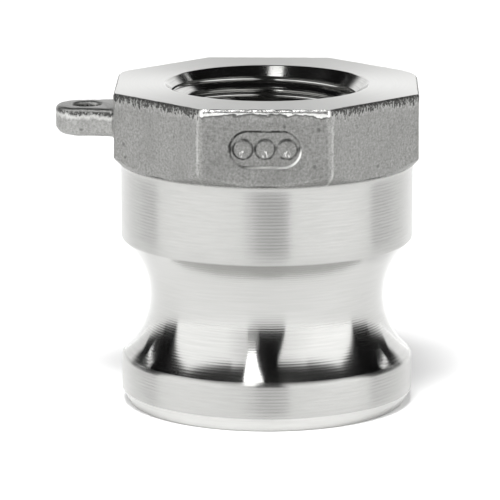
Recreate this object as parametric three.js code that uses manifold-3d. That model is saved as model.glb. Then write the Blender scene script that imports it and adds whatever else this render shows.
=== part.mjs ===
// Cam-and-groove adapter, male half, size 1/2 inch, with a female parallel pipe thread.
// One stainless casting: octagon wrench collar, barrel, cam groove, nose and a chain lug,
// with a threaded socket at the top and a plain waterway below it.
// Millimetres, +Z up. The origin is the centre of the nose face, on the bore axis.
import * as THREE from 'three';
import { mergeVertices } from 'three/addons/utils/BufferGeometryUtils.js';
import Module from 'manifold-3d';

// Overall heights
const totalHeight = 35.4;
const collarBottomZ = 27.1;

// Cam nose, groove and barrel
const noseRadius = 16.0;
const noseEndRadius = 15.2;
const noseChamferHeight = 1.5;
const noseLipRadius = 0.8;
const grooveRootRadius = 12.87;
const grooveArcRadius = 8.5;
const grooveCentreZ = 11.9;
const barrelRadius = 16.0;
const barrelTopZ = 26.4;

// Octagon wrench collar
const acrossFlats = 33.0;
const collarCornerRadius = 0.75;
const backLeftCornerRadius = 4.5;
const backRightCornerRadius = 6.5;
const collarCornerAngle = 40;
const collarTopChamfer = 0.3;

// Socket: G 1/2 parallel pipe thread
const threadMajorRadius = 20.955 / 2;
const threadMinorRadius = 18.631 / 2;
const threadPitch = 1.814;
const threadRootWidth = 0.35;
const threadFlankAngle = 27.5;
const threadCrestOverlap = 0.2;
const threadLength = 14.6;
const threadTurns = 7;
const mouthRadius = 11.22;
const mouthChamferAngle = 45;

// Waterway
const waterwayRadius = 8.0;
const socketFloorAngle = 30;
const noseBoreChamfer = 0.5;

// Chain lug
const lugTopZ = 33.0;
const lugThickness = 3.2;
const lugTipX = -23.1;
const lugTipRadius = 2.85;
const lugRootHalfWidth = 3.6;
const lugHoleX = -19.7;
const lugHoleRadius = 1.53;
const lugEdgeRound = 0.55;

// Sunken panel on the front flat, with three plain raised pips
const panelLength = 7.6;
const panelHeight = 3.9;
const panelDepth = 0.34;
const panelCentreZ = 31.1;
const pipRadius = 1.05;
const pipHeight = 0.24;
const pipSpacing = 2.35;

// Mesh fineness, and how far one solid runs into the next before they are joined
const bodySides = 64;
const boreSides = 32;
const lipSteps = 3;
const grooveSteps = 10;
const cornerSteps = 5;
const lugTipSteps = 10;
const lugEdgeSteps = 2;
const lugHoleSides = 28;
const panelSteps = 8;
const overlap = 0.6;
const envelopeMargin = 3;

const wasm = await Module();
wasm.setup();

const radians = (degrees) => (degrees * Math.PI) / 180;

// A closed three.js geometry as a solid that can be joined and cut
function toSolid(geometry) {
  const bare = geometry.index ? geometry.toNonIndexed() : geometry.clone();
  bare.deleteAttribute('normal');
  bare.deleteAttribute('uv');
  const merged = mergeVertices(bare, 1e-4);
  const corners = merged.index.array;
  const kept = [];
  for (let i = 0; i < corners.length; i += 3) {
    const [a, b, c] = [corners[i], corners[i + 1], corners[i + 2]];
    if (a !== b && b !== c && c !== a) kept.push(a, b, c);
  }
  const mesh = new wasm.Mesh({
    numProp: 3,
    vertProperties: new Float32Array(merged.attributes.position.array),
    triVerts: new Uint32Array(kept),
  });
  return new wasm.Manifold(mesh);
}

function toGeometry(solid) {
  const mesh = solid.getMesh();
  const geometry = new THREE.BufferGeometry();
  geometry.setAttribute('position', new THREE.BufferAttribute(new Float32Array(mesh.vertProperties), 3));
  geometry.setIndex(new THREE.BufferAttribute(new Uint32Array(mesh.triVerts), 1));
  geometry.computeVertexNormals();
  return geometry;
}

// Turns a profile of [radius, z] points about +Z; the profile starts and ends on the axis
function turned(profile, sides) {
  const points = profile.map(([radius, z]) => new THREE.Vector2(radius, z));
  const lathe = new THREE.LatheGeometry(points, sides);
  lathe.rotateX(Math.PI / 2);
  return toSolid(lathe);
}

// Points along an arc in the radius-z plane, angles in degrees from the +radius direction
function arcPoints(centreRadius, centreZ, radius, fromAngle, toAngle, steps) {
  const points = [];
  for (let i = 0; i <= steps; i += 1) {
    const angle = radians(fromAngle + ((toAngle - fromAngle) * i) / steps);
    points.push([centreRadius + radius * Math.cos(angle), centreZ + radius * Math.sin(angle)]);
  }
  return points;
}

// The groove is one arc; the nose meets it with a rounded lip, the barrel with a crisp edge
function outerProfile() {
  const grooveCentreRadius = grooveRootRadius + grooveArcRadius;
  const reach = grooveCentreRadius - barrelRadius;
  const edgeAngle = (Math.acos(reach / grooveArcRadius) * 180) / Math.PI;
  const lipCentreRadius = noseRadius - noseLipRadius;
  const lipReach = (grooveCentreRadius - lipCentreRadius) / (grooveArcRadius + noseLipRadius);
  const lipAngle = (Math.acos(lipReach) * 180) / Math.PI;
  const lipCentreZ = grooveCentreZ - (grooveArcRadius + noseLipRadius) * Math.sin(radians(lipAngle));
  const grooveEnds = [180 + lipAngle, 180 - edgeAngle];
  const grooveArc = arcPoints(grooveCentreRadius, grooveCentreZ, grooveArcRadius, ...grooveEnds, grooveSteps);
  return [
    [0, 0],
    [noseEndRadius, 0],
    [noseRadius, noseChamferHeight],
    ...arcPoints(lipCentreRadius, lipCentreZ, noseLipRadius, 0, lipAngle, lipSteps),
    ...grooveArc.slice(1),
    [barrelRadius, barrelTopZ],
    [acrossFlats / 2, collarBottomZ],
    [acrossFlats / 2, collarBottomZ + overlap],
    [0, collarBottomZ + overlap],
  ];
}

// Octagon with a flat facing -Y and rounded corners; the two corners behind the lug and across from it are
// rounded wider
function octagonShape() {
  const cornerReach = acrossFlats / 2 / Math.cos(radians(22.5));
  const shape = new THREE.Shape();
  const cornerRadii = new Array(8).fill(collarCornerRadius);
  cornerRadii[0] = backRightCornerRadius;
  cornerRadii[3] = backLeftCornerRadius;
  for (let i = 0; i < 8; i += 1) {
    const angle = 22.5 + 45 * i;
    const radius = cornerRadii[i];
    const inward = radius / Math.cos(radians(22.5));
    const x = (cornerReach - inward) * Math.cos(radians(angle));
    const y = (cornerReach - inward) * Math.sin(radians(angle));
    shape.absarc(x, y, radius, radians(angle - 22.5), radians(angle + 22.5), false);
  }
  shape.closePath();
  return shape;
}

// Collar blank: octagon prism, its lower corners turned off by a cone and its top edge eased
function collar() {
  const prism = new THREE.ExtrudeGeometry(octagonShape(), {
    depth: totalHeight - collarBottomZ,
    bevelEnabled: false,
    curveSegments: cornerSteps,
  });
  prism.translate(0, 0, collarBottomZ);
  const flatRadius = acrossFlats / 2;
  const cornerRise = Math.tan(radians(collarCornerAngle)) * envelopeMargin;
  const cornerReach = flatRadius / Math.cos(radians(22.5));
  const envelope = turned([
    [0, collarBottomZ],
    [flatRadius, collarBottomZ],
    [flatRadius + envelopeMargin, collarBottomZ + cornerRise],
    [flatRadius + envelopeMargin, totalHeight - collarTopChamfer],
    [cornerReach - collarTopChamfer, totalHeight],
    [0, totalHeight],
  ], bodySides);
  return toSolid(prism).intersect(envelope);
}

// Chain lug: a flat ear on the -X side, wider at its root, with rounded edges
function lug() {
  const shape = new THREE.Shape();
  const tipCentreX = lugTipX + lugTipRadius;
  const rootX = -acrossFlats / 2 + overlap;
  const inset = lugEdgeRound;
  const tipRadius = lugTipRadius - inset;
  const rootHalfWidth = lugRootHalfWidth - inset;
  const lean = Math.atan2(rootHalfWidth - tipRadius, rootX - tipCentreX);
  const tipStart = Math.PI / 2 + lean;
  shape.moveTo(rootX, rootHalfWidth);
  shape.lineTo(tipCentreX + tipRadius * Math.cos(tipStart), tipRadius * Math.sin(tipStart));
  shape.absarc(tipCentreX, 0, tipRadius, tipStart, 2 * Math.PI - tipStart, false);
  shape.lineTo(rootX, -rootHalfWidth);
  shape.closePath();
  const ear = new THREE.ExtrudeGeometry(shape, {
    depth: lugThickness - 2 * lugEdgeRound,
    bevelEnabled: true,
    bevelThickness: lugEdgeRound,
    bevelSize: lugEdgeRound,
    bevelSegments: lugEdgeSteps,
    curveSegments: lugTipSteps,
  });
  ear.translate(0, 0, lugTopZ - lugThickness + lugEdgeRound);
  return toSolid(ear);
}

function lugHole() {
  const pinHeight = lugThickness + 2 * overlap;
  const pin = new THREE.CylinderGeometry(lugHoleRadius, lugHoleRadius, pinHeight, lugHoleSides);
  pin.rotateX(Math.PI / 2);
  pin.translate(lugHoleX, 0, lugTopZ - lugThickness / 2);
  return toSolid(pin);
}

// Everything the tools bore out from the top: mouth chamfer, tapping drill, waterway, nose chamfer
function boreCut() {
  const mouthDepth = (mouthRadius - threadMinorRadius) * Math.tan(radians(mouthChamferAngle));
  const socketFloorZ = totalHeight - threadLength;
  const floorDrop = (threadMinorRadius - waterwayRadius) * Math.tan(radians(socketFloorAngle));
  return turned([
    [0, -overlap],
    [waterwayRadius + noseBoreChamfer + overlap, -overlap],
    [waterwayRadius, noseBoreChamfer],
    [waterwayRadius, socketFloorZ - floorDrop],
    [threadMinorRadius, socketFloorZ],
    [threadMinorRadius, totalHeight - mouthDepth],
    [mouthRadius + overlap, totalHeight + overlap],
    [0, totalHeight + overlap],
  ], boreSides);
}

// Right-hand helix on the bore axis, with its section kept square to the radius
class ThreadPath extends THREE.Curve {
  constructor(radius, bottomZ, turns) {
    super();
    this.radius = radius;
    this.bottomZ = bottomZ;
    this.turns = turns;
  }

  getPoint(t, target = new THREE.Vector3()) {
    const angle = 2 * Math.PI * this.turns * t;
    const z = this.bottomZ + threadPitch * this.turns * t;
    return target.set(this.radius * Math.cos(angle), this.radius * Math.sin(angle), z);
  }

  computeFrenetFrames(segments) {
    const frames = { tangents: [], normals: [], binormals: [] };
    for (let i = 0; i <= segments; i += 1) {
      const angle = (2 * Math.PI * this.turns * i) / segments;
      frames.tangents.push(new THREE.Vector3(-Math.sin(angle), Math.cos(angle), 0));
      frames.normals.push(new THREE.Vector3(Math.cos(angle), Math.sin(angle), 0));
      frames.binormals.push(new THREE.Vector3(0, 0, -1));
    }
    return frames;
  }
}

// The thread groove: a truncated 55 degree V from the tapping drill out to the major radius;
// one turn runs out through the mouth
function threadCut() {
  const depth = threadMajorRadius - threadMinorRadius;
  const half = threadRootWidth / 2;
  const open = half + depth * Math.tan(radians(threadFlankAngle));
  const mouth = open + threadCrestOverlap * Math.tan(radians(threadFlankAngle));
  const section = new THREE.Shape([
    new THREE.Vector2(-threadCrestOverlap, -mouth),
    new THREE.Vector2(depth, -half),
    new THREE.Vector2(depth, half),
    new THREE.Vector2(-threadCrestOverlap, mouth),
  ]);
  const bottomZ = totalHeight - threadTurns * threadPitch;
  const turns = threadTurns + 1;
  const path = new ThreadPath(threadMinorRadius, bottomZ, turns);
  const groove = new THREE.ExtrudeGeometry(section, {
    steps: turns * boreSides,
    extrudePath: path,
  });
  return toSolid(groove);
}

// A prism that stands out from the front flat, from one depth to another
function frontPrism(shape, fromDepth, toDepth) {
  const prism = new THREE.ExtrudeGeometry(shape, {
    depth: fromDepth - toDepth,
    bevelEnabled: false,
    curveSegments: panelSteps,
  });
  prism.rotateX(Math.PI / 2);
  prism.translate(0, -acrossFlats / 2 + fromDepth, panelCentreZ);
  return toSolid(prism);
}

function panelCut() {
  const endRadius = panelHeight / 2;
  const endX = panelLength / 2 - endRadius;
  const shape = new THREE.Shape();
  shape.absarc(endX, 0, endRadius, -Math.PI / 2, Math.PI / 2, false);
  shape.absarc(-endX, 0, endRadius, Math.PI / 2, (3 * Math.PI) / 2, false);
  shape.closePath();
  return frontPrism(shape, panelDepth, -overlap);
}

function panelPip(index) {
  const shape = new THREE.Shape();
  shape.absarc((index - 1) * pipSpacing, 0, pipRadius, 0, 2 * Math.PI, false);
  return frontPrism(shape, panelDepth + overlap, panelDepth - pipHeight);
}

function adapterBody() {
  let body = turned(outerProfile(), bodySides).add(collar()).add(lug());
  body = body.subtract(boreCut()).subtract(threadCut()).subtract(lugHole()).subtract(panelCut());
  for (let i = 0; i < 3; i += 1) {
    body = body.add(panelPip(i));
  }
  return toGeometry(body);
}

const stainless = new THREE.MeshStandardMaterial({ color: 0xb9b9b6, roughness: 0.35, metalness: 1.0 });

const adapterMesh = new THREE.Mesh(adapterBody(), stainless);
adapterMesh.name = 'adapter_body';

const adapter = new THREE.Group();
adapter.add(adapterMesh);

export default adapter;
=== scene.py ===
import math

import bpy
import numpy as np
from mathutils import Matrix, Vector, noise


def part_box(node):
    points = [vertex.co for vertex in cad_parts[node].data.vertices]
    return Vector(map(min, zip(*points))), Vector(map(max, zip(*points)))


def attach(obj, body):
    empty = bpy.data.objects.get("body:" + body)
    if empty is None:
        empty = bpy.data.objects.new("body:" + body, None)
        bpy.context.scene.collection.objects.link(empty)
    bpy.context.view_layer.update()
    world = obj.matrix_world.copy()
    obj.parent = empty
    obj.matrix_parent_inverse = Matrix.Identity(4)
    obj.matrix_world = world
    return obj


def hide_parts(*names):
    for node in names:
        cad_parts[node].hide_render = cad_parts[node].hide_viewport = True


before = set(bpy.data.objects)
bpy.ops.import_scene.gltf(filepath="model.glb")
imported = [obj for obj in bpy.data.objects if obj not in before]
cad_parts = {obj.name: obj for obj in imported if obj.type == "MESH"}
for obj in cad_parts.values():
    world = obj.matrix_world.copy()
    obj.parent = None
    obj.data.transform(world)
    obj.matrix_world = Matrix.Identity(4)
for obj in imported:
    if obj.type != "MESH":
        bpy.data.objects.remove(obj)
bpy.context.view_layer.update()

mm = 0.001
bodyLow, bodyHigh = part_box("adapter_body")
topZ = bodyHigh.z / mm            # machined top face
flatReach = bodyHigh.x / mm       # octagon centre to flat
lugTipX = bodyLow.x / mm          # outer end of the chain lug

# The casting as machined, every size in mm
bodySpec = {
    "noseRadius": 16.0, "noseEndRadius": 15.2, "noseChamfer": 1.5, "lipRadius": 0.8,
    "grooveRootRadius": 12.87, "grooveArcRadius": 8.5, "grooveCentreZ": 11.9,
    "barrelRadius": 16.0, "barrelTopZ": 26.4, "barrelEdge": 0.28,
    "collarBottomZ": 27.1, "collarCornerAngle": 40.0, "collarEdge": 0.16,
    # anticlockwise from the right-hand corner at the back
    "cornerRadii": [6.5, 0.75, 0.75, 4.5, 0.75, 0.75, 0.75, 0.75],
    "mouthRadius": 11.22, "threadMinorRadius": 9.3155, "threadLength": 14.6,
    "waterwayRadius": 8.0, "boreChamfer": 0.5, "noseEdge": 0.15, "chamferEdge": 0.08,
    # out from the barrel and up from its top: the run-out of the cut, then the cast skin
    "turnedRunOut": [(0.0, -0.15), (0.03, 0.12), (0.12, 0.38), (0.28, 0.52)],
    "castRunOut": [(0.29, 0.60), (0.46, 0.69)],
    "frontEdgeDrop": 0.40, "sideEdgeDrop": 0.34, "frontEdgeInset": 0.20, "sideEdgeInset": 0.18,
    "edgeTurn": 60.0, "cornerDrop": 0.35, "cornerReach": (1.045, 1.075),
    # unevenness: share or depth, size, and the level the noise is read at
    "dropWaves": [(0.28, 0.35, 3.1), (0.25, 1.6, 7.7)], "insetWaves": [(0.3, 0.8, 5.5)],
    "skinWave": 0.03, "skinWaves": [(1.0, 2.6), (0.45, 0.8)], "skinWaveTop": 0.9,
}
frontFacing = (0.915, 0.93)       # how squarely a column faces the front, at the front flat's ends
halfFlat = math.radians(22.5)     # half of what one side of the octagon takes up


def smoothStep(low, high, value):
    t = min(max((value - low) / (high - low), 0.0), 1.0)
    return t * t * (3.0 - 2.0 * t)


def arc(centreR, centreZ, radius, fromDeg, toDeg, steps):
    angles = [math.radians(fromDeg + (toDeg - fromDeg) * i / steps) for i in range(steps + 1)]
    return [(centreR + radius * math.cos(a), centreZ + radius * math.sin(a)) for a in angles]


def meshObject(name, points, faces, materials, slotOfFace=None):
    mesh = bpy.data.meshes.new(name)
    mesh.from_pydata([tuple(p) for p in np.asarray(points, float) * mm], [], faces)
    for material in materials:
        mesh.materials.append(material)
    if slotOfFace is not None:
        mesh.polygons.foreach_set("material_index", slotOfFace)
    mesh.update()
    made = bpy.data.objects.new(name, mesh)
    bpy.context.scene.collection.objects.link(made)
    return made


# Materials come first, because the meshes name them


def linear(hexColour):
    parts = [int(hexColour[i:i + 2], 16) / 255 for i in (1, 3, 5)]
    return [c / 12.92 if c <= 0.04045 else ((c + 0.055) / 1.055) ** 2.4 for c in parts] + [1.0]


# Adds any node with its settings, links or fills its inputs by name or position, and returns one output
def addNode(tree, kind, inputs=(), output=0, **settings):
    node = tree.nodes.new(kind)
    for key, value in settings.items():
        setattr(node, key, value)
    for key, value in (inputs if isinstance(inputs, dict) else dict(enumerate(inputs))).items():
        if isinstance(value, bpy.types.NodeSocket):
            tree.links.new(value, node.inputs[key])
        else:
            node.inputs[key].default_value = linear(value) if isinstance(value, str) else value
    return node.outputs[output]


def newMaterial(name, colour, metallic, roughness):
    material = bpy.data.materials.new(name)
    material.use_nodes = True
    tree = material.node_tree
    shader = tree.nodes["Principled BSDF"]
    shader.inputs["Base Color"].default_value = linear(colour)
    shader.inputs["Metallic"].default_value = metallic
    shader.inputs["Roughness"].default_value = roughness
    return material, tree, shader


# The tool's passes, alike on every cut: their noise scale, and where their tone starts and ends
passSpec = {"scale": 1.3, "tone": (0.32, 0.68)}


# Stainless steel cut on a lathe. The tool leaves a fine spiral, so reflections smear across it: upright
# bands stay sharp at their sides and run together up and down.
def turnedStainless(name, spec):
    material, tree, shader = newMaterial(name, spec["colour"], 1.0, spec["roughness"])
    shader.inputs["Anisotropic"].default_value = spec["anisotropic"]
    shader.inputs["Anisotropic Rotation"].default_value = 0.25
    place = addNode(tree, "ShaderNodeTexCoord", output="Object")
    acrossX, acrossY, height = addNode(tree, "ShaderNodeSeparateXYZ", [place]).node.outputs
    backward = addNode(tree, "ShaderNodeMath", [acrossY, -1.0], operation="MULTIPLY")
    around = addNode(tree, "ShaderNodeCombineXYZ", [backward, acrossX])
    tree.links.new(around, shader.inputs["Tangent"])
    # distance along the turned profile, in tool-feed steps
    outward = addNode(tree, "ShaderNodeVectorMath", [around], "Value", operation="LENGTH")
    feed = 1 / (spec["feed"] * mm)
    alongZ = addNode(tree, "ShaderNodeMath", [height, feed * spec["alongZ"]], operation="MULTIPLY")
    along = addNode(tree, "ShaderNodeMath", [outward, feed * spec["alongRadius"], alongZ],
                    operation="MULTIPLY_ADD")
    marks = addNode(tree, "ShaderNodeTexNoise", {"W": along, "Scale": 1.0, "Detail": 2.0},
                    noise_dimensions="1D")
    phase = addNode(tree, "ShaderNodeMath", [along, 2 * math.pi], operation="MULTIPLY")
    rings = addNode(tree, "ShaderNodeMath", [phase], operation="SINE")
    relief = addNode(tree, "ShaderNodeMath", [rings, spec["ringShare"], marks], operation="MULTIPLY_ADD")
    bump = addNode(tree, "ShaderNodeBump", {
        "Height": relief, "Strength": 1.0, "Distance": spec["markDepth"] * mm})
    tree.links.new(bump, shader.inputs["Normal"])
    # some passes of the tool cut brighter than others, for a part of a turn
    bearing = addNode(tree, "ShaderNodeMath", [acrossY, acrossX], operation="ARCTAN2")
    drawn = addNode(tree, "ShaderNodeMath", [bearing, spec["wander"]], operation="MULTIPLY")
    where = addNode(tree, "ShaderNodeCombineXYZ", [along, drawn])
    passes = addNode(tree, "ShaderNodeTexNoise", {
        "Vector": where, "Scale": passSpec["scale"], "Detail": 3.0})
    tone = addNode(tree, "ShaderNodeMapRange", [passes, *passSpec["tone"]])
    tint = addNode(tree, "ShaderNodeMix", {0: tone, 6: spec["dull"], 7: spec["colour"]}, 2,
                   data_type="RGBA")
    tree.links.new(tint, shader.inputs["Base Color"])
    print(f"material: {name}")
    return material


degree = math.radians(1)

# Ramps of the cast skin: where each starts and ends, then its values there if they aren't 0 and 1.
# Angles are counted from the middle of the front flat, which ends at 22.5 degrees.
skinRamps = {
    "tone": (0.46, 0.86), "cloud": (0.45, 0.75, 0.0, 0.35), "pit": (0.12, 0.05, 0.0, 0.5),
    "front": (23.4 * degree, 22.2 * degree), "rub": (22.3 * degree, 23.3 * degree),
    "worn": (0.35, 0.62, 0.2), "specks": (0.64, 0.50, 0.15, 0.85), "underEdge": (0.0, 0.12 * mm),
    "burrEnds": (15 * degree, 21.5 * degree, 0.0, 0.22 * mm),
    "line": (0.22 * mm, 0.08 * mm), "upper": (-0.6 * mm, 0.9 * mm, 0.12, 0.9),
    "lower": (-1.1 * mm, -1.7 * mm), "broken": (0.40, 0.54, 0.2, 1.0), "inside": (0.0, -0.1 * mm),
    "pipLine": (0.20 * mm, 0.06 * mm, 0.0, 0.75), "thinLine": (0.15 * mm, 0.05 * mm),
    "pipGlint": (0.45 * mm, 0.25 * mm), "glintTear": (0.50, 0.60),
}
# Its other lengths (mm), angles (degrees) and shares
skinSpec = {
    "rubRagged": 1.4, "fringeSoft": 0.12, "flakeRim": (0.5, 0.25), "burrGrain": 0.8, "burrRagged": 0.9,
    "burrSoft": 0.05, "burrLine": (0.30, 0.12), "burrLineShare": 0.6, "burrPolish": 0.2,
    "panelLean": 0.35, "glintDrop": 0.5,
}


# Investment-cast stainless steel, blasted clean: a fine pebbled skin from the ceramic mould, faintly
# streaked upright, a dark torn band below the top edge with a painted highlight rim under it, a bright
# burr on the front edge partly painted as a highlight with a painted shadow line under it, corners
# rubbed bare and painted as highlights, and painted shade and highlights in the front panel. It gives
# the eye a grey, grainy band between the bright cuts.
def castStainless(name, spec):
    material, tree, shader = newMaterial(name, spec["colour"], 1.0, spec["roughness"])
    place = addNode(tree, "ShaderNodeTexCoord", output="Object")
    sideways, depthways, height = addNode(tree, "ShaderNodeSeparateXYZ", [place]).node.outputs
    upright = addNode(tree, "ShaderNodeVectorMath", [place, (1.0, 1.0, spec["stretch"])],
                      operation="MULTIPLY")
    grain, streaks, tear, mottle, burrTear = [
        addNode(tree, "ShaderNodeTexNoise", {
            "Vector": where, "Scale": 1 / (size * mm), "Detail": detail, "Roughness": rough})
        for where, size, detail, rough in [
            (place, spec["grain"], 3.0, 0.6), (upright, spec["streak"], 3.0, 0.6),
            (upright, spec["tear"], 2.0, 0.6), (place, spec["mottle"], 2.0, 0.5),
            (place, skinSpec["burrGrain"], 3.0, 0.5)]]
    relief = addNode(tree, "ShaderNodeMath", [streaks, spec["streakShare"], grain],
                     operation="MULTIPLY_ADD")
    bump = addNode(tree, "ShaderNodeBump", {
        "Height": relief, "Strength": 1.0, "Distance": spec["skinDepth"] * mm})
    tree.links.new(bump, shader.inputs["Normal"])
    tone = addNode(tree, "ShaderNodeMapRange", [relief, *skinRamps["tone"]])
    cloud = addNode(tree, "ShaderNodeMapRange", [mottle, *skinRamps["cloud"]])
    # pinholes, a few to the square centimetre
    pits = addNode(tree, "ShaderNodeTexVoronoi", {
        "Vector": place, "Scale": 1 / (spec["pitSpacing"] * mm)})
    pitShade = addNode(tree, "ShaderNodeMapRange", [pits, *skinRamps["pit"]])
    # colours laid over the dark skin one after another, each with its share
    layers = [(tone, spec["colour"]), (cloud, spec["dark"]), (pitShade, spec["scale"])]

    # each corner is rubbed bare just past its edge and painted as a highlight there,
    # more in some places than in others
    flatPlace = addNode(tree, "ShaderNodeCombineXYZ", [sideways, depthways])
    outward = addNode(tree, "ShaderNodeVectorMath", [flatPlace], "Value", operation="LENGTH")
    frontward = addNode(tree, "ShaderNodeMath", [depthways, -1.0], operation="MULTIPLY")
    facing = addNode(tree, "ShaderNodeMath", [frontward, outward], operation="DIVIDE")
    turn = addNode(tree, "ShaderNodeMath", [facing], operation="ARCCOSINE")
    front = addNode(tree, "ShaderNodeMapRange", [turn, *skinRamps["front"]])
    shifted = addNode(tree, "ShaderNodeMath", [turn, spec["rubShift"] * degree], operation="SUBTRACT")
    folded = addNode(tree, "ShaderNodeMath", [shifted, halfFlat], operation="PINGPONG")
    roughCorner = addNode(tree, "ShaderNodeMath", [grain, skinSpec["rubRagged"] * degree, folded],
                          operation="MULTIPLY_ADD")
    rub = addNode(tree, "ShaderNodeMapRange", [roughCorner, *skinRamps["rub"]])
    worn = addNode(tree, "ShaderNodeMapRange", [mottle, *skinRamps["worn"], spec["rubShare"]])
    rubbedHighlight = addNode(tree, "ShaderNodeMath", [rub, worn], operation="MULTIPLY")
    layers.append((rubbedHighlight, spec["rubbedHighlight"]))

    # a dark band below the top edge of the sides, torn into short upright streaks
    below = addNode(tree, "ShaderNodeMath", [spec["edgeZ"] * mm, height], operation="SUBTRACT")
    torn = addNode(tree, "ShaderNodeMath", [tear, -spec["ragged"] * mm, below], operation="MULTIPLY_ADD")
    tornFrom = (spec["fringe"] - spec["ragged"] / 2) * mm
    soft = skinSpec["fringeSoft"] * mm
    fringe = addNode(tree, "ShaderNodeMapRange", [torn, tornFrom + soft, tornFrom - soft])
    darkBand = fringe
    onSide = addNode(tree, "ShaderNodeMath", [1.0, front], operation="SUBTRACT")
    underEdge = addNode(tree, "ShaderNodeMapRange", [below, *skinRamps["underEdge"]])
    specks = addNode(tree, "ShaderNodeMapRange", [grain, *skinRamps["specks"]])
    for mask in (onSide, underEdge, specks):
        darkBand = addNode(tree, "ShaderNodeMath", [darkBand, mask], operation="MULTIPLY")
    layers.append((darkBand, spec["scale"]))
    # a painted highlight: a bright rim follows the dark band's lower edge
    rimStart, rimStop = [tornFrom + reach * mm for reach in skinSpec["flakeRim"]]
    rimGlint = addNode(tree, "ShaderNodeMapRange", [torn, rimStart, rimStop])
    rimBand = addNode(tree, "ShaderNodeMath", [rimGlint, fringe], operation="SUBTRACT")
    rimHighlight = addNode(tree, "ShaderNodeMath", [rimBand, spec["rimGlint"]], operation="MULTIPLY",
                        use_clamp=True)
    layers.append((rimHighlight, spec["burrAndHighlightWhite"]))

    # bright burr along the front edge, deeper at its ends, partly a painted highlight, with a painted
    # shadow line under it
    ends = addNode(tree, "ShaderNodeMapRange", [turn, *skinRamps["burrEnds"]])
    burrBelow = addNode(tree, "ShaderNodeMath", [below, ends], operation="SUBTRACT")
    burrLow = addNode(tree, "ShaderNodeMath", [burrTear, -skinSpec["burrRagged"] * mm, burrBelow],
                      operation="MULTIPLY_ADD")
    burrFrom = (spec["burrHighlight"] - skinSpec["burrRagged"] / 2) * mm
    soft = skinSpec["burrSoft"] * mm
    burrHighlight = addNode(tree, "ShaderNodeMapRange", [burrLow, burrFrom + soft, burrFrom - soft])
    lineStart, lineStop = [burrFrom + reach * mm for reach in skinSpec["burrLine"]]
    shadow = addNode(tree, "ShaderNodeMapRange",
                     [burrLow, lineStart, lineStop, 0.0, skinSpec["burrLineShare"]])

    # sunken panel: painted shade along its top and left wall and round the pips, in the darkest colour
    end = panelSpec["height"] / 2
    absX = addNode(tree, "ShaderNodeMath", [sideways], operation="ABSOLUTE")
    spare = addNode(tree, "ShaderNodeMath", [absX, (panelSpec["length"] / 2 - end) * mm],
                    operation="SUBTRACT")
    clipped = addNode(tree, "ShaderNodeMath", [spare, 0.0], operation="MAXIMUM")
    upward = addNode(tree, "ShaderNodeMath", [height, panelSpec["centreZ"] * mm], operation="SUBTRACT")
    rimPlace = addNode(tree, "ShaderNodeCombineXYZ", [clipped, upward])
    rimReach = addNode(tree, "ShaderNodeVectorMath", [rimPlace], "Value", operation="LENGTH")
    rim = addNode(tree, "ShaderNodeMath", [rimReach, end * mm], operation="SUBTRACT")
    wall = addNode(tree, "ShaderNodeMath", [rim], operation="ABSOLUTE")
    line = addNode(tree, "ShaderNodeMapRange", [wall, *skinRamps["line"]])
    lean = addNode(tree, "ShaderNodeMath", [sideways, -skinSpec["panelLean"], upward],
                   operation="MULTIPLY_ADD")
    upper = addNode(tree, "ShaderNodeMapRange", [lean, *skinRamps["upper"]])
    broken = addNode(tree, "ShaderNodeMapRange", [burrTear, *skinRamps["broken"]])
    pipX = addNode(tree, "ShaderNodeMath", [sideways, panelSpec["pipSpacing"] / 2 * mm],
                   operation="PINGPONG")
    pipPlace = addNode(tree, "ShaderNodeCombineXYZ", [pipX, upward])
    pipReach = addNode(tree, "ShaderNodeVectorMath", [pipPlace], "Value", operation="LENGTH")
    pipEdge = addNode(tree, "ShaderNodeMath", [pipReach, panelSpec["pipRadius"] * mm],
                      operation="SUBTRACT")
    pipWall = addNode(tree, "ShaderNodeMath", [pipEdge], operation="ABSOLUTE")
    pipLine = addNode(tree, "ShaderNodeMapRange", [pipWall, *skinRamps["pipLine"]])
    inside = addNode(tree, "ShaderNodeMapRange", [rim, *skinRamps["inside"]])
    pipInside = addNode(tree, "ShaderNodeMath", [pipLine, inside], operation="MULTIPLY")
    topLine = addNode(tree, "ShaderNodeMath", [line, upper], operation="MULTIPLY")
    lines = addNode(tree, "ShaderNodeMath", [topLine, pipInside], operation="MAXIMUM")
    paintedCreviceShade = addNode(tree, "ShaderNodeMath", [lines, broken], operation="MULTIPLY")

    # painted highlights along its lower wall and on the lower side of each pip
    thinLine = addNode(tree, "ShaderNodeMapRange", [wall, *skinRamps["thinLine"]])
    lower = addNode(tree, "ShaderNodeMapRange", [lean, *skinRamps["lower"]])
    lowLine = addNode(tree, "ShaderNodeMath", [thinLine, lower], operation="MULTIPLY")
    pipLow = addNode(tree, "ShaderNodeVectorMath", [pipPlace, (0.0, -skinSpec["glintDrop"] * mm, 0.0)],
                     "Value", operation="DISTANCE")
    glint = addNode(tree, "ShaderNodeMapRange", [pipLow, *skinRamps["pipGlint"]])
    glintTear = addNode(tree, "ShaderNodeMapRange", [tear, *skinRamps["glintTear"]])
    for mask in (glintTear, inside):
        glint = addNode(tree, "ShaderNodeMath", [glint, mask], operation="MULTIPLY")
    glints = addNode(tree, "ShaderNodeMath", [lowLine, glint], operation="MAXIMUM")

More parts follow.
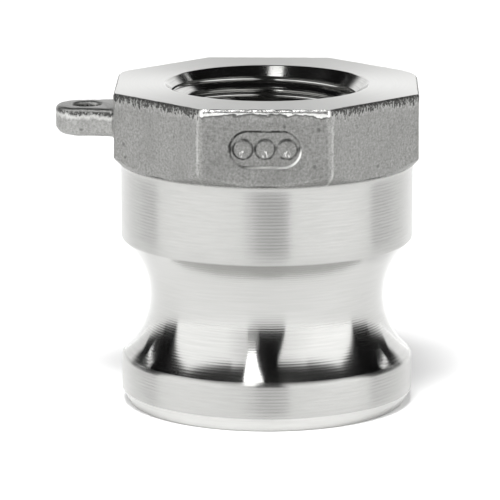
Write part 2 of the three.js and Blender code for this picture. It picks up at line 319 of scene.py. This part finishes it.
    # the burr with its painted highlight and painted shadow line, and the panel's painted shade and
    # highlights, are on the front flat only
    for share, colour in [(shadow, spec["scale"]), (burrHighlight, spec["burrAndHighlightWhite"]),
                          (paintedCreviceShade, spec["scale"]), (glints, spec["burrAndHighlightWhite"])]:
        onFront = addNode(tree, "ShaderNodeMath", [share, front], operation="MULTIPLY")
        layers.append((onFront, colour))
        if share is burrHighlight:
            smooth = addNode(tree, "ShaderNodeMath",
                             [onFront, -skinSpec["burrPolish"], spec["roughness"]],
                             operation="MULTIPLY_ADD")
            tree.links.new(smooth, shader.inputs["Roughness"])
    tint = spec["dark"]
    for share, colour in layers:
        tint = addNode(tree, "ShaderNodeMix", {0: share, 6: tint, 7: colour}, 2, data_type="RGBA")
    tree.links.new(tint, shader.inputs["Base Color"])
    print(f"material: {name}")
    return material


# The front flat's sunken panel, with plain raised pips
panelSpec = {
    "length": 7.6, "height": 3.9, "depth": 0.34, "centreZ": 31.1, "wall": 0.32,
    "pipRadius": 1.05, "pipHeight": 0.24, "pipSpacing": 2.35, "pipWall": 0.30,
    "between": (250, 290),        # degrees round the axis that hold it
}
lugTopZ = 33.0

# roughing pass on the barrel and the nose: coarse marks, satin
barrelFinish = turnedStainless("turned_stainless", {
    "colour": "#BABAB8", "dull": "#B4B4B2", "roughness": 0.27, "anisotropic": 1.0, "feed": 0.36,
    "alongZ": 1.0, "alongRadius": 0.7, "ringShare": 0.35, "markDepth": 0.008, "wander": 4.0})
# form tool in the groove: fine marks, nearly a mirror
grooveFinish = turnedStainless("fine_turned_stainless", {
    "colour": "#BEBEBC", "dull": "#B8B8B6", "roughness": 0.13, "anisotropic": 1.0, "feed": 0.26,
    "alongZ": 1.0, "alongRadius": 0.0, "ringShare": 0.35, "markDepth": 0.0035, "wander": 2.0})
# facing cut on the two ends: a fine spiral, satin
faceFinish = turnedStainless("faced_stainless", {
    "colour": "#C6C6C4", "dull": "#C1C1BF", "roughness": 0.30, "anisotropic": 0.8, "feed": 0.2,
    "alongZ": 0.0, "alongRadius": 1.0, "ringShare": 0.2, "markDepth": 0.003, "wander": 2.0})
# bored, chamfered and tapped with plenty of oil: the smoothest cut
boreFinish = turnedStainless("bored_stainless", {
    "colour": "#C4C4C2", "dull": "#B0B0AE", "roughness": 0.14, "anisotropic": 0.5, "feed": 0.15,
    "alongZ": 1.0, "alongRadius": 0.7, "ringShare": 0.2, "markDepth": 0.001, "wander": 2.0})
# the nose chamfer, the brightest face: a lighter copy of the turned steel, its brightness painted in
brightenedChamferFinish = turnedStainless("turned_stainless_painted_brighter", {
    "colour": "#D0D0CE", "dull": "#CACAC8", "roughness": 0.30, "anisotropic": 1.0, "feed": 0.36,
    "alongZ": 1.0, "alongRadius": 0.7, "ringShare": 0.35, "markDepth": 0.004, "wander": 3.0})
# the collar's sides as they left the mould
# its darkest colour also paints shade under the front burr and in the panel; its brightest is the burr and
# the painted highlights
castFinish = castStainless("investment_cast_stainless", {
    "colour": "#A0A09E", "dark": "#7A7A78", "scale": "#343433", "rubbedHighlight": "#C8C8C6",
    "burrAndHighlightWhite": "#F4F4F2", "roughness": 0.46, "grain": 0.24, "streak": 0.22, "stretch": 0.3,
    "streakShare": 0.35, "mottle": 3.2, "skinDepth": 0.016, "pitSpacing": 2.3, "tear": 0.30,
    "edgeZ": topZ, "fringe": 0.74, "ragged": 3.2, "rimGlint": 0.12, "burrHighlight": 0.50, "rubShift": 1.4,
    "rubShare": 0.95})
# the lug: a lighter copy of the cast finish, its brightness painted in for the light on it, with a
# dark band under its top edge and a painted highlight rim below that
brightenedLugFinish = castStainless("cast_stainless_painted_lighter", {
    "colour": "#ABABA9", "dark": "#888886", "scale": "#343433", "rubbedHighlight": "#C8C8C6",
    "burrAndHighlightWhite": "#E6E6E4", "roughness": 0.42, "grain": 0.24, "streak": 0.22, "stretch": 0.3,
    "streakShare": 0.35, "mottle": 1.6, "skinDepth": 0.018, "pitSpacing": 2.3, "tear": 0.45,
    "edgeZ": lugTopZ - 0.28, "fringe": 0.46, "ragged": 1.0, "rimGlint": 0.45, "burrHighlight": -1.0,
    "rubShift": 0.0, "rubShare": 0.0})
finishes = [castFinish, barrelFinish, grooveFinish, faceFinish, boreFinish, brightenedLugFinish, brightenedChamferFinish]
cast, barrel, groove, face, bore, ear, chamfer = range(7)

# Octagon outline: how far out it reaches at an angle, and the angles at which the rings are sampled


# the centre line of a corner's rounding, and half the angle that the rounding takes up
def cornerRounding(corner):
    inner = flatReach - bodySpec["cornerRadii"][corner % 8]
    return inner / math.cos(halfFlat), halfFlat - math.atan(inner * math.tan(halfFlat) / flatReach)


def octagonReach(theta):
    turn = math.degrees(theta) % 360
    corner = int(turn // 45)
    offset = math.radians(turn - (22.5 + 45 * corner))
    centre, edge = cornerRounding(corner)
    if abs(offset) < edge:
        radius = bodySpec["cornerRadii"][corner]
        return centre * math.cos(offset) + math.sqrt(radius ** 2 - (centre * math.sin(offset)) ** 2)
    return flatReach / math.cos(halfFlat - abs(offset))


def columnAngles():
    angles = []
    for corner, radius in enumerate(bodySpec["cornerRadii"]):
        edge = math.degrees(cornerRounding(corner)[1])
        nextEdge = math.degrees(cornerRounding(corner + 1)[1])
        middle = 22.5 + 45 * corner
        steps = 8 if radius < 2 else 14
        angles += [middle - edge + 2 * edge * i / steps for i in range(steps + 1)]
        low, high = middle + edge, middle + 45 - nextEdge
        flatSteps = 110 if corner == 5 else 38     # the front flat holds the panel
        angles += [low + (high - low) * i / flatSteps for i in range(1, flatSteps)]
    return [math.radians(a) for a in angles]


def panelDepth(x, z):
    s = panelSpec
    end = s["height"] / 2
    reach = math.hypot(max(abs(x) - (s["length"] / 2 - end), 0.0), z - s["centreZ"]) - end
    depth = s["depth"] * smoothStep(s["wall"] / 2, -s["wall"] / 2, reach)
    for k in (-1, 0, 1):
        away = math.hypot(x - k * s["pipSpacing"], z - s["centreZ"]) - s["pipRadius"]
        depth -= s["pipHeight"] * smoothStep(s["pipWall"] / 2, -s["pipWall"] / 2, away)
    return depth


def skinNoise(point, size):
    return noise.noise(Vector(point) / size)


def edgeNoise(x, y, waves):
    return sum(share * skinNoise((x, y, level), size) for share, size, level in waves)


def buildBody():
    s = bodySpec
    columns = columnAngles()
    reach = [octagonReach(t) for t in columns]
    # each row: a (radius, z) for every column, and the finish of the band that ends at it
    rows = []

    def ringRow(radius, z, finish):
        rows.append(([(radius, z)] * len(columns), finish))

    # nose face, outwards
    ringRow(s["waterwayRadius"] + s["boreChamfer"], 0.0, bore)
    ringRow(s["noseEndRadius"] - 2.0, 0.0, face)
    for radius, z in arc(s["noseEndRadius"] - s["noseEdge"], s["noseEdge"], s["noseEdge"], -90, -28, 3):
        ringRow(radius, z, face)
    land, landZ = s["noseRadius"], s["noseChamfer"] + s["chamferEdge"]
    ringRow(land - 0.05, s["noseChamfer"] - s["chamferEdge"], chamfer)
    ringRow(land, landZ, chamfer)
    grooveR = s["grooveRootRadius"] + s["grooveArcRadius"]
    lipR = land - s["lipRadius"]
    between = s["grooveArcRadius"] + s["lipRadius"]      # of the two arcs' centres
    lipAngle = math.degrees(math.acos((grooveR - lipR) / between))
    lipZ = s["grooveCentreZ"] - between * math.sin(math.radians(lipAngle))
    for i in range(3):
        ringRow(land, landZ + (lipZ - landZ) * (i + 1) / 4, barrel)
    for radius, z in arc(lipR, lipZ, s["lipRadius"], 0, lipAngle, 9):
        ringRow(radius, z, barrel)
    edge = s["barrelEdge"]
    topAngle = math.degrees(math.acos((grooveR - s["barrelRadius"] + edge * 0.7) / s["grooveArcRadius"]))
    grooveArc = arc(grooveR, s["grooveCentreZ"], s["grooveArcRadius"],
                    180 + lipAngle, 180 - topAngle, 44)
    for radius, z in grooveArc[1:]:
        ringRow(radius, z, groove)
    grooveTopZ = grooveArc[-1][1]
    barrelZ = grooveTopZ + edge * 1.1
    ringRow(s["barrelRadius"] - edge * 0.25, grooveTopZ + edge * 0.45, barrel)
    for i in range(6):
        ringRow(s["barrelRadius"], barrelZ + (s["barrelTopZ"] - barrelZ) * i / 6, barrel)
    for runOut, finish in ((s["turnedRunOut"], barrel), (s["castRunOut"], cast)):
        for out, up in runOut:
            ringRow(s["barrelRadius"] + out, s["barrelTopZ"] + up, finish)

    # underside cone, following the octagon up to its corners
    slope = math.tan(math.radians(s["collarCornerAngle"]))
    coneZ = [s["collarBottomZ"] + (r - flatReach) * slope for r in reach]
    rows.append(([(r - 0.12, z - 0.02) for r, z in zip(reach, coneZ)], cast))
    lower = [z + s["collarEdge"] for z in coneZ]
    rows.append(([(r, z) for r, z in zip(reach, lower)], cast))

    # cast flats, with dense rows over the panel
    spans = [(0.0, 0.2, 6), (0.2, 0.8, 44), (0.8, 1.0, 6)]
    shares = [a + (b - a) * i / n for a, b, n in spans for i in range(n)] + [1.0]
    drops, insets = [], []
    for t, r in zip(columns, reach):
        x, y = r * math.cos(t), r * math.sin(t)
        facing = smoothStep(*frontFacing, -math.sin(t))
        drop = s["sideEdgeDrop"] + (s["frontEdgeDrop"] - s["sideEdgeDrop"]) * facing
        drop *= 1 + edgeNoise(x, y, s["dropWaves"])
        nearCorner = smoothStep(*s["cornerReach"], r / flatReach)
        drops.append(drop * (1 + s["cornerDrop"] * nearCorner))
        inset = s["sideEdgeInset"] + (s["frontEdgeInset"] - s["sideEdgeInset"]) * facing
        insets.append(inset * (1 + edgeNoise(x, y, s["insetWaves"])))
    for share in shares[1:]:
        row = []
        for t, r, low, drop in zip(columns, reach, lower, drops):
            z = low + (topZ - drop - low) * share
            x, y = r * math.cos(t), r * math.sin(t)
            fade = smoothStep(0.0, 0.15, share) * smoothStep(1.0, 0.9, share)
            # the skin waves inwards only, so the flats stay at their size
            wave = sum(weight * skinNoise((x, y, z), size) for weight, size in s["skinWaves"])
            push = s["skinWave"] * fade * (wave - s["skinWaveTop"])
            if panelSpec["between"][0] < math.degrees(t) % 360 < panelSpec["between"][1]:
                push -= panelDepth(x, z) * math.cos(t + math.pi / 2)
            row.append((r + push, z))
        rows.append((row, cast))
    edgeTurn = math.radians(s["edgeTurn"])
    for i in range(1, 8):
        angle = edgeTurn * i / 7
        row = []
        for r, drop, inset in zip(reach, drops, insets):
            inward = inset * (1 - math.cos(angle)) / (1 - math.cos(edgeTurn))
            row.append((r - inward, topZ - drop * (1 - math.sin(angle) / math.sin(edgeTurn))))
        rows.append((row, cast))

    # top face, mouth chamfer, tapping drill, waterway and back to the nose face
    mouth, minor = s["mouthRadius"], s["threadMinorRadius"]
    rims = [r - inset for r, inset in zip(reach, insets)]
    for share in (0.06, 0.35, 0.7, 0.97):
        rows.append(([(rim * (1 - share) + mouth * share, topZ) for rim in rims], face))
    ringRow(mouth + 0.02, topZ, face)
    for inward, down in [(0.05, 0.02), (0.12, 0.09), (mouth - minor, mouth - minor)]:
        ringRow(mouth - inward, topZ - down, bore)
    floorZ = topZ - s["threadLength"]
    ringRow(minor, floorZ, bore)
    ringRow(s["waterwayRadius"], floorZ - 0.76, bore)
    ringRow(s["waterwayRadius"], s["boreChamfer"], bore)

    count, depth = len(columns), len(rows)
    cosines, sines = np.cos(columns), np.sin(columns)
    points = np.empty((depth, count, 3))
    for k, (row, _) in enumerate(rows):
        radii = np.array([p[0] for p in row])
        points[k] = np.stack([radii * cosines, radii * sines, [p[1] for p in row]], axis=1)
    faces, slots = [], []
    for k in range(depth):
        after = (k + 1) % depth
        finish = rows[after][1]
        for j in range(count):
            nextJ = (j + 1) % count
            faces.append((k * count + j, k * count + nextJ, after * count + nextJ, after * count + j))
            slots.append(finish)
    made = meshObject("adapterCasting", points.reshape(-1, 3), faces, finishes, slots)
    print(f"casting: {depth} rings of {count} points")
    return made


# Quads between rings of points that follow each other, with a lid at both ends
def tubeFaces(rings, count, flipped=False):
    faces = [(k * count + j, (k + 1) * count + j, (k + 1) * count + (j + 1) % count,
              k * count + (j + 1) % count) for k in range(rings - 1) for j in range(count)]
    faces.append(tuple(range(count)))
    faces.append(tuple((rings - 1) * count + j for j in reversed(range(count))))
    return [(f[0], *reversed(f[1:])) for f in faces] if flipped else faces


# Thread cutter: a right-hand helix with a rounded root
threadSpec = {
    "pitch": 1.814, "depth": 1.162, "flankAngle": 27.5, "rootRadius": 0.249,
    "crestBreak": 0.07, "stepsPerTurn": 120, "mouthAzimuth": 3.0, "leadShare": 0.9,
    "turnsShort": 1.4, "turnsPast": 1.2,     # where it stops above the floor and runs out past the mouth
}


def buildThreadCutter():
    s = threadSpec
    minor = bodySpec["threadMinorRadius"]
    major = minor + s["depth"]
    flank = math.tan(math.radians(s["flankAngle"]))
    rootR, rootAngle = s["rootRadius"], s["flankAngle"]
    # half a profile as (radius, offset along z): root arc, then a straight flank down to the bore
    half = [(major - rootR + rootR * math.cos(a), rootR * math.sin(a))
            for a in [math.radians((90 - rootAngle) * i / 5) for i in range(6)]]
    lastR, lastZ = half[-1]
    crestZ = lastZ + (lastR - minor) * flank
    half.append((minor + s["crestBreak"], crestZ - s["crestBreak"] * flank))
    half += [(minor - inward, crestZ + s["crestBreak"] * 0.8) for inward in (0.02, 0.3)]
    section = [(r, -z) for r, z in reversed(half)] + half[1:]
    # the groove's middle crosses the top face at mouthAzimuth
    turns = bodySpec["threadLength"] / s["pitch"] - s["turnsShort"]
    steps = int((turns + s["turnsPast"]) * s["stepsPerTurn"])
    points = []
    for i in range(steps + 1):
        turn = (turns + s["turnsPast"]) * i / steps
        # the tap's lead pulls the profile inwards over the first turn
        sink = s["leadShare"] * s["depth"] * (1 - smoothStep(0.0, 1.0, turn))
        angle = 2 * math.pi * (turn - turns) + math.radians(s["mouthAzimuth"])
        z = topZ + s["pitch"] * (turn - turns)
        for r, dz in section:
            radius = max(r - sink, minor - 0.3)
            points.append((radius * math.cos(angle), radius * math.sin(angle), z + dz))
    faces = tubeFaces(steps + 1, len(section))
    return meshObject("threadCutter", points, faces, finishes, [bore] * len(faces))


# Chain lug
lugSpec = {
    "topZ": lugTopZ, "thickness": 3.2, "tipRadius": 2.85, "rootHalfWidth": 3.6,
    "holeX": -19.7, "holeRadius": 1.53, "upperRound": 0.5, "lowerRound": 1.1, "rootFillet": 0.6,
    "rootInside": 1.2, "waves": [(0.05, 1.7), (0.025, 0.6)],
    # the hole from below: out from its radius, and up from the nearer face
    "holeLow": [(0.9, -0.5), (0.25, -0.02), (0.0, 0.3)],
    "holeHigh": [(0.0, -0.25), (0.08, -0.08), (0.25, 0.04), (0.9, 0.5)],
}


def lugOutline(inset):
    s = lugSpec
    tipX = lugTipX + s["tipRadius"]
    rootX = s["rootInside"] - flatReach
    tipR = s["tipRadius"] - inset
    rootHalf = s["rootHalfWidth"] - inset
    lean = math.atan2(rootHalf - tipR, rootX - tipX)
    start = math.pi / 2 + lean
    side = [(rootX + (tipX + tipR * math.cos(start) - rootX) * i / 14,
             rootHalf + (tipR * math.sin(start) - rootHalf) * i / 14) for i in range(14)]
    tip = [(tipX + tipR * math.cos(a), tipR * math.sin(a))
           for a in [start + (2 * math.pi - 2 * start) * i / 40 for i in range(41)]]
    return side + tip + [(x, -y) for x, y in reversed(side)]


def buildLug():
    s = lugSpec
    top, bottom = s["topZ"], s["topZ"] - s["thickness"]
    straight = s["thickness"] - s["lowerRound"] - s["upperRound"]
    quarter = [math.radians(90 * i / 6) for i in range(7)]
    levels = [(s["lowerRound"] * (1 - math.sin(a)), bottom + s["lowerRound"] * (1 - math.cos(a)))
              for a in quarter]
    levels += [(0.0, bottom + s["lowerRound"] + straight * i / 4) for i in range(1, 4)]
    levels += [(s["upperRound"] * (1 - math.cos(a)), top - s["upperRound"] * (1 - math.sin(a)))
               for a in quarter]
    middle = (top + bottom) / 2
    points = []
    for inset, z in levels:
        for x, y in lugOutline(inset):
            # widens into the flat it stands on
            near = min(max(1 - (-flatReach - x) / s["rootFillet"], 0.0), 1.0)
            flare = s["rootFillet"] * (1 - math.sqrt(1 - near ** 2))
            y += flare * y / s["rootHalfWidth"]
            height = z + flare * (z - middle) / s["thickness"]
            push = sum(depth * skinNoise((x, y, height), size) for depth, size in s["waves"])
            points.append((x + push * 0.5, y + push, height + push))
    faces = tubeFaces(len(levels), len(points) // len(levels))
    return meshObject("lugBlank", points, faces, finishes, [ear] * len(faces))


def buildLugHole():
    s = lugSpec
    bottom = s["topZ"] - s["thickness"]
    profile = [(s["holeRadius"] + out, level + up)
               for level, side in ((bottom, s["holeLow"]), (s["topZ"], s["holeHigh"])) for out, up in side]
    count = 72
    around = [2 * math.pi * j / count for j in range(count)]
    points = [(s["holeX"] + r * math.cos(a), r * math.sin(a), z) for r, z in profile for a in around]
    faces = tubeFaces(len(profile), count, flipped=True)
    return meshObject("lugHoleCutter", points, faces, finishes, [ear] * len(faces))


def combine(target, tool, operation):
    step = target.modifiers.new(tool.name, "BOOLEAN")
    step.operation, step.solver, step.object = operation, "MANIFOLD", tool
    bpy.context.view_layer.update()
    evaluated = target.evaluated_get(bpy.context.evaluated_depsgraph_get())
    result = bpy.data.meshes.new_from_object(evaluated)
    target.modifiers.clear()
    target.data = result
    bpy.data.objects.remove(tool)
    print(f"{operation.lower()}: {len(result.polygons)} faces")


adapter = buildBody()
combine(adapter, buildLug(), "UNION")
combine(adapter, buildLugHole(), "DIFFERENCE")
combine(adapter, buildThreadCutter(), "DIFFERENCE")
adapter.data.shade_smooth()
adapter.data.set_sharp_from_angle(angle=math.radians(35))
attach(adapter, "root")
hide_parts("adapter_body")

# White table, two wide softboxes with a gap for the lens, a strip overhead. Directions are in degrees
# from the object: azimuth 0 is the lens side, positive to its right. Lengths on the table are in mm.
studioSpec = {
    "tableWhite": "#F1F1F1", "tableGlow": 0.09, "farGlow": 0.85, "glowRamp": (300, 1400),
    # sideways share of the way to the lens at the shaded wedge's soft sides, and how far off it starts
    "lensShade": 0.68, "wedgeLeft": (-0.32, -0.16), "wedgeRight": (0.36, 0.26), "wedgeStart": (48, 95),
    "horizonGlow": 1.2, "ceiling": 0.006, "horizon": (0.4, 1.2),
    # each panel: from and to azimuth, from and to elevation, glow at both sides, softness of the left
    # side, the right side and the top; a leaning panel moves left as it rises
    "panels": [
        {"azimuth": (-95, -40), "elevation": (-4, 50), "glow": (1.70, 1.60), "soft": (6, 2, 8)},
        {"azimuth": (-40, -17.5), "elevation": (-4, 54), "glow": (1.60, 1.12), "soft": (2, 1.5, 8)},
        {"azimuth": (-17.5, -7), "elevation": (-10, 28), "glow": (0.50, 0.34), "soft": (1.5, 3, 6)},
        {"azimuth": (-17.5, -10), "elevation": (16, 40), "glow": (0.50, 0.35), "soft": (1.5, 3, 6)},
        {"azimuth": (19, 52), "elevation": (-4, 50), "glow": (1.40, 1.78), "soft": (1.5, 2, 8),
         "lean": 0.13},
        {"azimuth": (52, 91), "elevation": (-4, 47), "glow": (1.78, 1.80), "soft": (2, 5, 8),
         "lean": 0.13},
        {"azimuth": (113, 137), "elevation": (-4, 7), "glow": (0.4, 1.25), "soft": (4, 2, 6)},
        {"azimuth": (-137, -113), "elevation": (-4, 7), "glow": (1.25, 0.4), "soft": (2, 4, 6)},
        {"azimuth": (137, 180), "elevation": (-4, 15), "glow": (1.25, 1.25), "soft": (2, 0, 6)},
        {"azimuth": (-180, -137), "elevation": (-4, 15), "glow": (1.20, 1.05), "soft": (0, 2, 6)},
        {"azimuth": (145, 180), "elevation": (15, 34), "glow": (1.25, 1.25), "soft": (10, 0, 6)},
        {"azimuth": (-180, -145), "elevation": (15, 34), "glow": (1.25, 1.25), "soft": (0, 10, 6)},
        {"azimuth": (-129, -126.5), "elevation": (18, 33), "glow": (3.0, 3.0), "soft": (1, 1, 3)},
        {"azimuth": (129.5, 132), "elevation": (24, 36), "glow": (3.4, 3.4), "soft": (1, 1, 3)},
    ],
    # the strip is seen in the steel; the other two only light the table
    "lamps": {
        "strip": {"azimuth": -16, "elevation": 52, "away": 1.27, "size": (0.17, 1.2), "turn": -11,
                  "energy": 2.6, "reflected": True},
        "overhead": {"azimuth": 180, "elevation": 60, "away": 1.05, "size": (0.6, 0.6), "turn": 0,
                     "energy": 1.4, "reflected": False},
        "key": {"azimuth": -8, "elevation": 62, "away": 1.0, "size": (0.28, 0.28), "turn": 0,
                "energy": 8.8, "reflected": False},
    },
}


def buildTable():
    s = studioSpec
    size = 3000.0
    table = meshObject("table", [(-size, -size, 0), (size, -size, 0), (size, size, 0), (-size, size, 0)],
                       [(0, 1, 2, 3)], [])
    # opal acrylic, sanded matt and faintly lit from below: white all over, with only a soft shadow
    material, tree, shader = newMaterial("opal_acrylic", s["tableWhite"], 0.0, 0.9)
    shader.inputs["Specular IOR Level"].default_value = 0.0
    shader.inputs["Emission Color"].default_value = (1, 1, 1, 1)
    # painted shadow: a wedge of the table in front of the object gets a darker base colour, for the
    # lens stand's shade
    place = addNode(tree, "ShaderNodeTexCoord", output="Object")
    sideways, depthways, _ = addNode(tree, "ShaderNodeSeparateXYZ", [place]).node.outputs
    toLens = addNode(tree, "ShaderNodeMath", [depthways, -1.0], operation="MULTIPLY")
    slant = addNode(tree, "ShaderNodeMath", [sideways, toLens], operation="DIVIDE")
    fromLeft = addNode(tree, "ShaderNodeMapRange", [slant, *s["wedgeLeft"]])
    fromRight = addNode(tree, "ShaderNodeMapRange", [slant, *s["wedgeRight"]])
    far = addNode(tree, "ShaderNodeMapRange", [toLens, *[d * mm for d in s["wedgeStart"]]])
    wedge = addNode(tree, "ShaderNodeMath", [fromLeft, fromRight], operation="MULTIPLY")
    shade = addNode(tree, "ShaderNodeMath", [wedge, far], operation="MULTIPLY")
    bright = linear(s["tableWhite"])[0]
    wedgeShadedWhite = addNode(tree, "ShaderNodeMapRange", [shade, 0.0, 1.0, bright, bright * s["lensShade"]])
    tree.links.new(wedgeShadedWhite, shader.inputs["Base Color"])
    # lit more from below where the lamps don't reach, so it stays white up to the horizon
    away = addNode(tree, "ShaderNodeVectorMath", [place], "Value", operation="LENGTH")
    glow = addNode(tree, "ShaderNodeMapRange",
                   [away, *[d * mm for d in s["glowRamp"]], s["tableGlow"], s["farGlow"]])
    tree.links.new(glow, shader.inputs["Emission Strength"])
    table.data.materials.append(material)
    print("table: placed")


def buildLamps():
    for name, spec in studioSpec["lamps"].items():
        lamp = bpy.data.lights.new(name, "AREA")
        lamp.shape, (lamp.size, lamp.size_y), lamp.energy = "RECTANGLE", spec["size"], spec["energy"]
        made = bpy.data.objects.new(name, lamp)
        turn, rise = math.radians(spec["azimuth"]), math.radians(spec["elevation"])
        way = Vector((math.sin(turn) * math.cos(rise), -math.cos(turn) * math.cos(rise), math.sin(rise)))
        made.location = way * spec["away"]
        if spec["reflected"]:
            made.rotation_euler.z = math.radians(spec["turn"])   # hangs level
        else:
            made.rotation_euler = way.to_track_quat("Z", "Y").to_euler()
        made.visible_camera = False
        made.visible_glossy = spec["reflected"]
        bpy.context.scene.collection.objects.link(made)
    print(f"lamps: {len(studioSpec['lamps'])}")


def buildWorld():
    world = bpy.data.worlds.new("studio")
    bpy.context.scene.world = world
    world.use_nodes = True
    tree = world.node_tree
    way = addNode(tree, "ShaderNodeTexCoord", output="Generated")
    sideways, depthways, upward = addNode(tree, "ShaderNodeSeparateXYZ", [way]).node.outputs
    toLens = addNode(tree, "ShaderNodeMath", [depthways, -1.0], operation="MULTIPLY")
    turn = addNode(tree, "ShaderNodeMath", [sideways, toLens], operation="ARCTAN2")
    azimuth = addNode(tree, "ShaderNodeMath", [turn, math.degrees(1)], operation="MULTIPLY")
    rise = addNode(tree, "ShaderNodeMath", [upward], operation="ARCSINE")
    elevation = addNode(tree, "ShaderNodeMath", [rise, math.degrees(1)], operation="MULTIPLY")
    s = studioSpec
    total = addNode(tree, "ShaderNodeMapRange",
                    [elevation, *s["horizon"], s["horizonGlow"], s["ceiling"]])
    for panel in s["panels"]:
        (left, right), (low, high), soft = panel["azimuth"], panel["elevation"], panel["soft"]
        leaning = addNode(tree, "ShaderNodeMath", [elevation, panel.get("lean", 0.0), azimuth],
                          operation="MULTIPLY_ADD")
        part = addNode(tree, "ShaderNodeMapRange", [leaning, left, right, *panel["glow"]])
        for value, start, stop in [(leaning, left - soft[0] / 2, left + soft[0] / 2 + 0.01),
                                   (leaning, right + soft[1] / 2 + 0.01, right - soft[1] / 2),
                                   (elevation, low - soft[2] / 2, low + soft[2] / 2),
                                   (elevation, high + soft[2] / 2, high - soft[2] / 2)]:
            edge = addNode(tree, "ShaderNodeMapRange", [value, start, stop],
                           interpolation_type="SMOOTHSTEP")
            part = addNode(tree, "ShaderNodeMath", [part, edge], operation="MULTIPLY")
        total = addNode(tree, "ShaderNodeMath", [total, part], operation="ADD")
    tree.links.new(total, tree.nodes["Background"].inputs["Color"])
    print(f"studio: {len(s['panels'])} panels")


# The lens stands about 0.47 m off and looks a little down. Sensor, focal length and place are in mm.
cameraSpec = {
    "sensor": 36.0, "focal": 307.54, "clip": (0.01, 10.0),
    "place": (5.994, -459.721, 117.231), "forward": (-0.01668, 0.97677, -0.21363),
}


def buildCamera():
    s = cameraSpec
    lens = bpy.data.cameras.new("camera")
    lens.sensor_width, lens.lens = s["sensor"], s["focal"]
    lens.clip_start, lens.clip_end = s["clip"]
    made = bpy.data.objects.new("camera", lens)
    made.location = Vector(s["place"]) * mm
    made.rotation_mode = "QUATERNION"
    made.rotation_quaternion = Vector(s["forward"]).to_track_quat("-Z", "Y")
    bpy.context.scene.collection.objects.link(made)
    bpy.context.scene.camera = made
    print("camera: placed")


buildTable()
buildLamps()
buildWorld()
buildCamera()
bpy.context.scene.view_settings.view_transform = "Standard"
